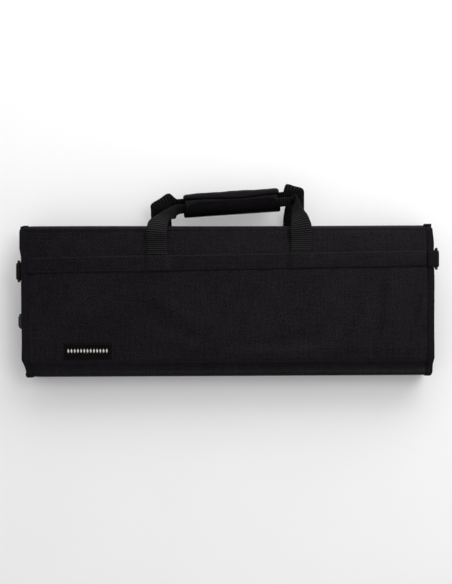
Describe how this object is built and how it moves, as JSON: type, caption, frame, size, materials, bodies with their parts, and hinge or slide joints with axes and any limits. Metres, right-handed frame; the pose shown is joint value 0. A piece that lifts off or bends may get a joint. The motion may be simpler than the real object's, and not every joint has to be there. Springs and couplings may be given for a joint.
{
  "type": "knife case",
  "caption": "Soft-sided folding knife case in black fabric, zipped on three sides, with webbing handles and padded wrap.",
  "frame": {"origin": "on the back face, in the middle of the case's body, where it rests on a table", "axes": "+X along the fold, +Y from the fold to the handles, +Z out of the front face"},
  "size_m": [0.5146, 0.2346, 0.0611],
  "materials": {
    "case_fabric": "woven nylon, matt",
    "binding_fabric": "ribbed binding tape",
    "webbing": "ribbed webbing",
    "lining_fabric": "plain lining",
    "stiffener": "board",
    "label_fabric": "woven satin",
    "zip_teeth": "moulded",
    "slider_metal": "black enamel",
    "wire_metal": "blackened",
    "pull_plastic": "soft moulded"
  },
  "bodies": {
    "back": {"back_cover": "case_fabric", "back_board": "stiffener", "back_lining": "lining_fabric", "back_binding": "binding_fabric", "back_band": "webbing", "back_strap_ends": "webbing", "back_gusset": "case_fabric", "back_zip_tape": "webbing", "back_zip_teeth": "zip_teeth", "knife_sleeve_1": "lining_fabric", "knife_sleeve_2": "lining_fabric", "knife_sleeve_3": "lining_fabric", "knife_sleeve_4": "lining_fabric", "knife_sleeve_5": "lining_fabric", "knife_elastic": "webbing"},
    "spine": {"spine_cover": "case_fabric", "spine_board": "stiffener", "spine_lining": "lining_fabric"},
    "cover": {"front_cover": "case_fabric", "front_board": "stiffener", "front_lining": "lining_fabric", "front_binding": "binding_fabric", "front_band": "webbing", "front_strap_ends": "webbing", "label_patch": "label_fabric", "front_gusset": "case_fabric", "front_zip_tape": "webbing", "front_zip_teeth": "zip_teeth", "tool_sleeve_1": "lining_fabric", "tool_sleeve_2": "lining_fabric", "tool_sleeve_3": "lining_fabric", "tool_sleeve_4": "lining_fabric", "tool_elastic": "webbing", "left_ring_tab": "webbing", "right_ring_tab": "webbing"},
    "front_handle": {"front_handle_strap": "webbing"},
    "back_handle": {"back_handle_strap": "webbing", "grip_wrap": "case_fabric", "loop_patch": "webbing"},
    "flap": {"grip_flap": "case_fabric", "hook_patch": "webbing"},
    "upper_slider": {"upper_slider": "slider_metal"},
    "upper_pull": {"upper_pull_ring": "wire_metal", "upper_pull_grip": "pull_plastic"},
    "lower_slider": {"lower_slider": "slider_metal"},
    "lower_pull": {"lower_pull_ring": "wire_metal", "lower_pull_grip": "pull_plastic"},
    "left_ring": {"left_d_ring": "wire_metal"},
    "right_ring": {"right_d_ring": "wire_metal"}
  },
  "joints": [
    {"name": "spine_fold", "type": "hinge", "parent": "back", "child": "spine", "pos_m": [0, -0.084, 0.008], "axis": [1, 0, 0], "range_deg": [0, 60]},
    {"name": "cover_fold", "type": "hinge", "parent": "spine", "child": "cover", "pos_m": [0, -0.084, 0.036], "axis": [1, 0, 0], "range_deg": [0, 120], "deforming": ["front_handle_strap"]},
    {"name": "front_handle_swing", "type": "hinge", "parent": "cover", "child": "front_handle", "pos_m": [0, 0.0595, 0.0528], "axis": [1, 0, 0], "range_deg": [0, 150]},
    {"name": "back_handle_swing", "type": "hinge", "parent": "back", "child": "back_handle", "pos_m": [0, 0.0935, 0.0008], "axis": [1, 0, 0], "range_deg": [-26, 8]},
    {"name": "wrap_flap", "type": "hinge", "parent": "back_handle", "child": "flap", "pos_m": [0.00685, 0.10704, 0.03891], "axis": [0.998, 0.0628, 0], "range_deg": [0, 55]},
    {"name": "upper_slide", "type": "slide", "parent": "back", "child": "upper_slider", "axis": [0, 1, 0], "range_m": [0, 0.05]},
    {"name": "upper_pull_swing", "type": "hinge", "parent": "upper_slider", "child": "upper_pull", "pos_m": [-0.25, 0.0155, 0.022], "axis": [0, 0, 1], "range_deg": [0, 90]},
    {"name": "lower_slide", "type": "slide", "parent": "back", "child": "lower_slider", "axis": [0, -1, 0], "range_m": [0, 0.05]},
    {"name": "lower_pull_swing", "type": "hinge", "parent": "lower_slider", "child": "lower_pull", "pos_m": [-0.25, -0.0075, 0.022], "axis": [0, 0, -1], "range_deg": [0, 90]},
    {"name": "left_ring_swing", "type": "hinge", "parent": "cover", "child": "left_ring", "pos_m": [-0.2534, 0.0375, 0.0446], "axis": [0, 1, 0], "range_deg": [-20, 150]},
    {"name": "right_ring_swing", "type": "hinge", "parent": "cover", "child": "right_ring", "pos_m": [0.2534, 0.05, 0.0534], "axis": [0, -1, 0], "range_deg": [-6, 150]}
  ],
  "couplings": [
    {"joint": "cover_fold", "follows": "spine_fold", "ratio": 2}
  ]
}
